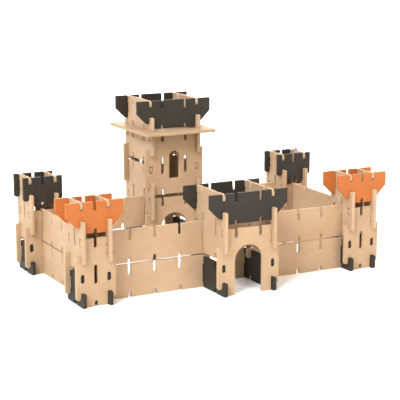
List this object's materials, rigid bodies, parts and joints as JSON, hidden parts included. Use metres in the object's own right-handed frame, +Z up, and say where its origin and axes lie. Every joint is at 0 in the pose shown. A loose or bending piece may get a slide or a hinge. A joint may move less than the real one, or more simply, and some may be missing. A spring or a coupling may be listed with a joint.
{
  "type": "slot-together toy castle",
  "caption": "Toy castle of flat notched boards that lap and tab together at the corners: walled yard, corner towers with flared or straight crowns, arched gatehouse and tall keep.",
  "frame": {"origin": "on the ground under the middle of the whole castle's box", "axes": "+X along the front towards the right-hand towers, +Y from the gatehouse to the keep, +Z up"},
  "size_m": [0.6576, 0.4498, 0.3148],
  "materials": {
    "natural_board": "bare matt fibre board",
    "dark_grey_board": "matt, dyed through",
    "orange_board": "matt, dyed through"
  },
  "bodies": {
    "root": {"front_left_tower_base_boards": "dark_grey_board", "front_left_tower_front_board": "natural_board", "front_left_tower_back_board": "natural_board", "front_left_tower_left_board": "natural_board", "front_left_tower_right_board": "natural_board", "front_left_tower_front_crown": "orange_board", "front_left_tower_back_crown": "orange_board", "front_right_tower_base_boards": "dark_grey_board", "front_right_tower_front_board": "natural_board", "front_right_tower_back_board": "natural_board", "front_right_tower_left_board": "natural_board", "front_right_tower_right_board": "natural_board", "front_right_tower_front_crown": "orange_board", "front_right_tower_back_crown": "orange_board", "back_left_tower_base_boards": "dark_grey_board", "back_left_tower_front_board": "natural_board", "back_left_tower_back_board": "natural_board", "back_left_tower_left_board": "natural_board", "back_left_tower_right_board": "natural_board", "back_left_tower_front_crown": "dark_grey_board", "back_left_tower_back_crown": "dark_grey_board", "back_right_tower_base_boards": "dark_grey_board", "back_right_tower_front_board": "natural_board", "back_right_tower_back_board": "natural_board", "back_right_tower_left_board": "natural_board", "back_right_tower_right_board": "natural_board", "back_right_tower_front_crown": "dark_grey_board", "back_right_tower_back_crown": "dark_grey_board", "gatehouse_base_boards": "dark_grey_board", "gatehouse_front_arch": "natural_board", "gatehouse_back_arch": "natural_board", "gatehouse_left_board": "natural_board", "gatehouse_right_board": "natural_board", "gatehouse_front_crown": "dark_grey_board", "gatehouse_back_crown": "dark_grey_board", "keep_base_boards": "dark_grey_board", "keep_front_arch": "natural_board", "keep_back_arch": "natural_board", "keep_lower_left_board": "natural_board", "keep_lower_right_board": "natural_board", "keep_front_window": "natural_board", "keep_back_window": "natural_board", "keep_upper_left_board": "natural_board", "keep_upper_right_board": "natural_board", "keep_platform": "natural_board", "keep_front_crown": "dark_grey_board", "keep_back_crown": "dark_grey_board", "front_left_wall_lower_board": "natural_board", "front_left_wall_upper_board": "natural_board", "front_right_wall_lower_board": "natural_board", "front_right_wall_upper_board": "natural_board", "left_wall_lower_board": "natural_board", "left_wall_upper_board": "natural_board", "right_wall_lower_board": "natural_board", "right_wall_upper_board": "natural_board", "back_left_wall_lower_board": "natural_board", "back_left_wall_upper_board": "natural_board", "back_right_wall_lower_board": "natural_board", "back_right_wall_upper_board": "natural_board"}
  },
  "joints": []
}
